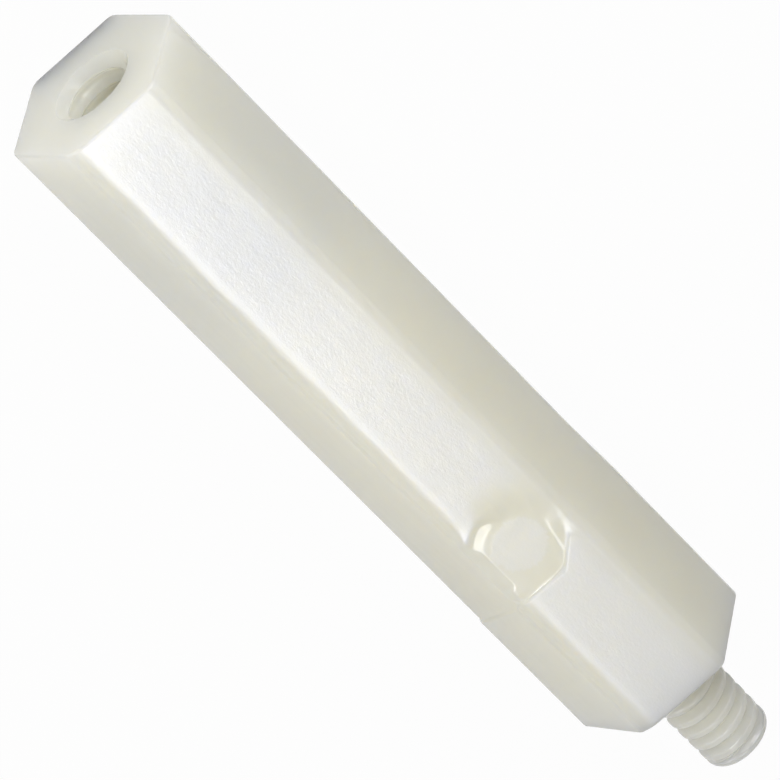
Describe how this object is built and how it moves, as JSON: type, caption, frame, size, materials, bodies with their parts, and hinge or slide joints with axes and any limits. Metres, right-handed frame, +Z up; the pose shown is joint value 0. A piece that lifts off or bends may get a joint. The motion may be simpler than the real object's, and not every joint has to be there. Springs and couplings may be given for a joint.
{
  "type": "hex standoff",
  "caption": "Moulded hexagonal standoff with a threaded stud at one end and a threaded blind hole at the other, for spacing a circuit board from a panel.",
  "frame": {"origin": "on the axis, at the shoulder face that the stud stands on", "axes": "+X along the axis towards the stud's tip, +Z up out of the flat that carries the gate mark, with the part lying on the opposite flat"},
  "size_m": [0.0365, 0.0072, 0.0064],
  "materials": {
    "natural_nylon": "natural nylon as moulded: translucent cream white, satin on the side flats, finely blasted on the flat with the gate mark"
  },
  "bodies": {
    "root": {"standoff": "natural_nylon"}
  },
  "joints": []
}
